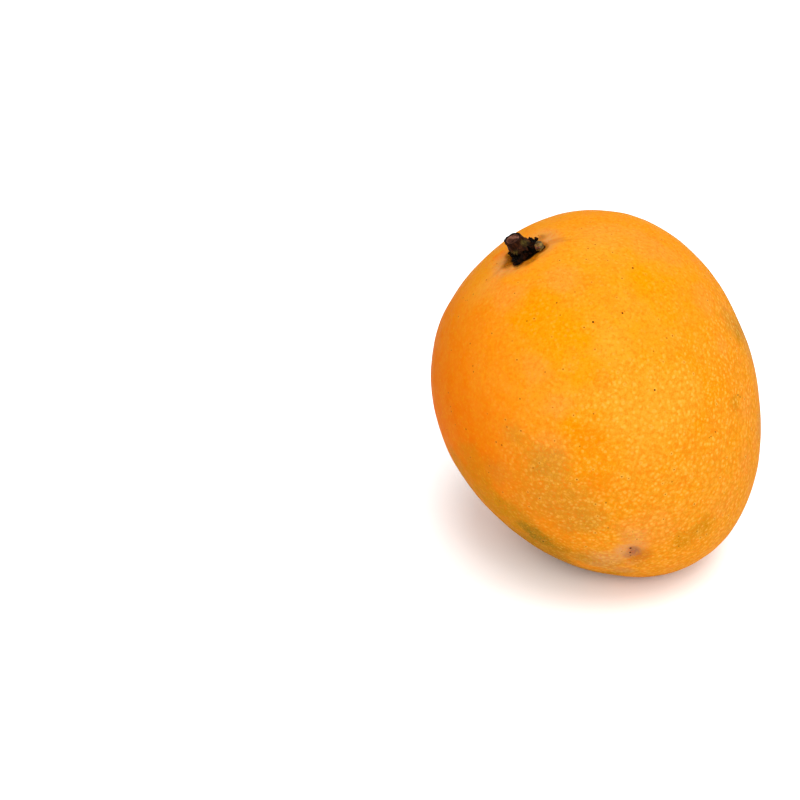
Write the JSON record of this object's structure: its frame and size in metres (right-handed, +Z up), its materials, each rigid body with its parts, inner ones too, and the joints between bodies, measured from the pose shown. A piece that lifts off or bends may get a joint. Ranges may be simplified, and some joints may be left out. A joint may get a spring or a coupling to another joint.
{
  "type": "mango",
  "caption": "Whole ripe mango, near-round and yellow-orange, with a short woody stem stub in its hollow and a small navel, leaning on a small flat spot.",
  "frame": {"origin": "bottom centre of the bounding box, on the plane that the fruit rests on", "axes": "+Z up; -Y towards the side the picture shows, the belly side with the navel; +X to the right as seen from there, away from the stem stub"},
  "size_m": [0.0788, 0.083, 0.0847],
  "materials": {
    "mango_skin": "waxy half-matte fruit skin, yellow-orange with olive and peach patches, pale pores and dark specks",
    "stem_wood": "dry dark brown stalk, rough, with a near-black crust at its foot"
  },
  "bodies": {
    "root": {"fruit": "mango_skin", "stem_stub": "stem_wood"}
  },
  "joints": []
}
